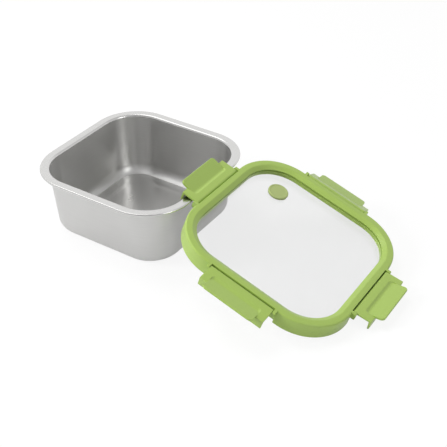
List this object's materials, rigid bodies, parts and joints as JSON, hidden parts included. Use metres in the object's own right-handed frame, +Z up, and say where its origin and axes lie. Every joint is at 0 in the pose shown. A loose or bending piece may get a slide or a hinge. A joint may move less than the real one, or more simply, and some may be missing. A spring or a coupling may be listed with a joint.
{
  "type": "lunch box",
  "caption": "Square deep-drawn steel lunch box with a lift-off lid: green plastic frame, clear window, hinged edge latches that hook under the rim, a seal ring and a vent plug.",
  "frame": {"origin": "middle of the tub's foot, on the floor", "axes": "+Z up, +X from the tub to the leaning lid, along the long way of the pair"},
  "size_m": [0.3395, 0.2097, 0.0742],
  "materials": {
    "steel": "satin",
    "green_plastic": "satin",
    "clear_plastic": "clear",
    "seal_rubber": "matte",
    "vent_rubber": "matte"
  },
  "bodies": {
    "tub": {"steel_tub": "steel"},
    "lid": {"lid_frame": "green_plastic", "lid_window": "clear_plastic", "lid_seal": "seal_rubber"},
    "latch_left": {"latch_left": "green_plastic"},
    "latch_front": {"latch_front": "green_plastic"},
    "latch_right": {"latch_right": "green_plastic"},
    "latch_back": {"latch_back": "green_plastic"},
    "vent_plug": {"vent_plug": "vent_rubber"}
  },
  "joints": [
    {"name": "lid_lift", "type": "slide", "parent": "tub", "child": "lid", "axis": [0, 0, 1], "range_m": [0, 0.12]},
    {"name": "latch_left_hinge", "type": "hinge", "parent": "lid", "child": "latch_left", "pos_m": [0.08261, 0, 0.06186], "axis": [0, 1, 0], "range_deg": [0, 29.2]},
    {"name": "latch_front_hinge", "type": "hinge", "parent": "lid", "child": "latch_front", "pos_m": [0.16041, -0.0819, 0.03627], "axis": [-0.9499, 0, 0.3125], "range_deg": [-85, 35]},
    {"name": "latch_right_hinge", "type": "hinge", "parent": "lid", "child": "latch_right", "pos_m": [0.23821, 0, 0.01068], "axis": [0, -1, 0], "range_deg": [-94.4, 25.6]},
    {"name": "latch_back_hinge", "type": "hinge", "parent": "lid", "child": "latch_back", "pos_m": [0.16041, 0.0819, 0.03627], "axis": [0.9499, 0, -0.3125], "range_deg": [-61.7, 58.3]},
    {"name": "vent_lift", "type": "slide", "parent": "lid", "child": "vent_plug", "axis": [0.3125, 0, 0.9499], "range_m": [0, 0.02]}
  ]
}
